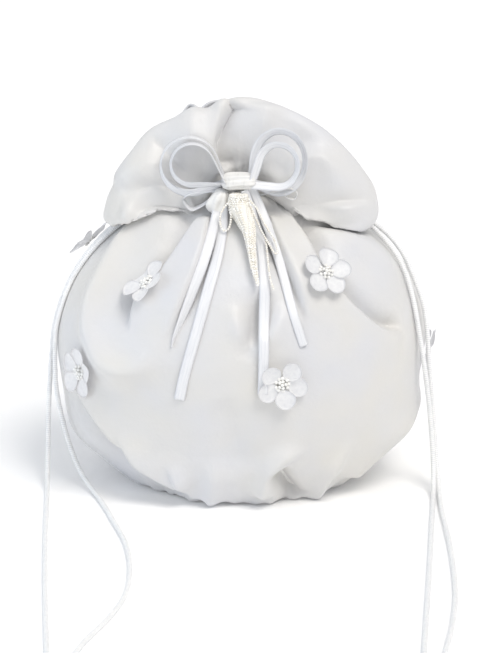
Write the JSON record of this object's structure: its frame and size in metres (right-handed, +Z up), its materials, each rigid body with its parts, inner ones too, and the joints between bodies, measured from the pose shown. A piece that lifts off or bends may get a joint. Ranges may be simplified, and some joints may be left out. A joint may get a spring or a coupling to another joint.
{
  "type": "bridal drawstring bag",
  "caption": "Gathered satin bag on a round base with a frilled header, drawcords, a ribbon bow with a bead tassel, and sewn-on flowers.",
  "frame": {"origin": "centre of the round base, on the surface it stands on", "axes": "+Z up through the neck, -Y towards the front with the bow, +X to the right seen from the front"},
  "size_m": [0.207, 0.434, 0.2056],
  "materials": {
    "satin": "satin",
    "lining": "matte",
    "board": "matte",
    "cord": "satin",
    "ribbon": "satin",
    "seed_bead": "pearl gloss",
    "organza": "sheer",
    "flower_bead": "pearl gloss"
  },
  "bodies": {
    "root": {"outer_front_panel": "satin", "outer_back_panel": "satin", "base_cover": "satin", "casing_front": "satin", "frill_front": "satin", "lining_wall": "lining", "lining_base": "lining", "base_stiffener": "board", "drawcord_lower_front": "cord", "drawcord_upper_front": "cord", "bow_loop_left_outer": "ribbon", "bow_loop_left_inner": "ribbon", "bow_loop_right_outer": "ribbon", "bow_loop_right_inner": "ribbon", "bow_wrap": "ribbon", "ribbon_tail_left_short": "ribbon", "ribbon_tail_left_long": "ribbon", "ribbon_tail_right_long": "ribbon", "ribbon_tail_right_short": "ribbon", "petals_upper_left": "organza", "petals_upper_right": "organza", "petals_lower_left": "organza", "petals_lower_centre": "organza", "petals_left_shoulder": "organza", "petals_right_side": "organza", "petals_back_upper_right": "organza", "petals_back_centre": "organza", "petals_back_lower_right": "organza", "petals_back_lower_left": "organza", "beads_upper_left": "flower_bead", "beads_upper_right": "flower_bead", "beads_lower_left": "flower_bead", "beads_lower_centre": "flower_bead", "beads_left_shoulder": "flower_bead", "beads_right_side": "flower_bead", "beads_back_upper_right": "flower_bead", "beads_back_centre": "flower_bead", "beads_back_lower_right": "flower_bead", "beads_back_lower_left": "flower_bead", "cord_left_outer": "cord", "cord_left_inner": "cord", "cord_right_outer": "cord", "cord_right_inner": "cord", "knot_left": "cord", "knot_right": "cord"},
    "mouth_back": {"casing_back": "satin", "drawcord_lower_back": "cord", "drawcord_upper_back": "cord", "frill_back": "satin"},
    "tassel": {"tassel_cap": "seed_bead", "tassel_strands": "seed_bead", "tassel_loop_left": "seed_bead", "tassel_loop_right": "seed_bead"}
  },
  "joints": [
    {"name": "mouth_open", "type": "hinge", "parent": "root", "child": "mouth_back", "pos_m": [0, 0.024, 0.095], "axis": [-1, 0, 0], "range_deg": [0, 18]},
    {"name": "tassel_swing", "type": "hinge", "parent": "root", "child": "tassel", "pos_m": [0, -0.034, 0.165], "axis": [-1, 0, 0], "range_deg": [0, 60]}
  ]
}
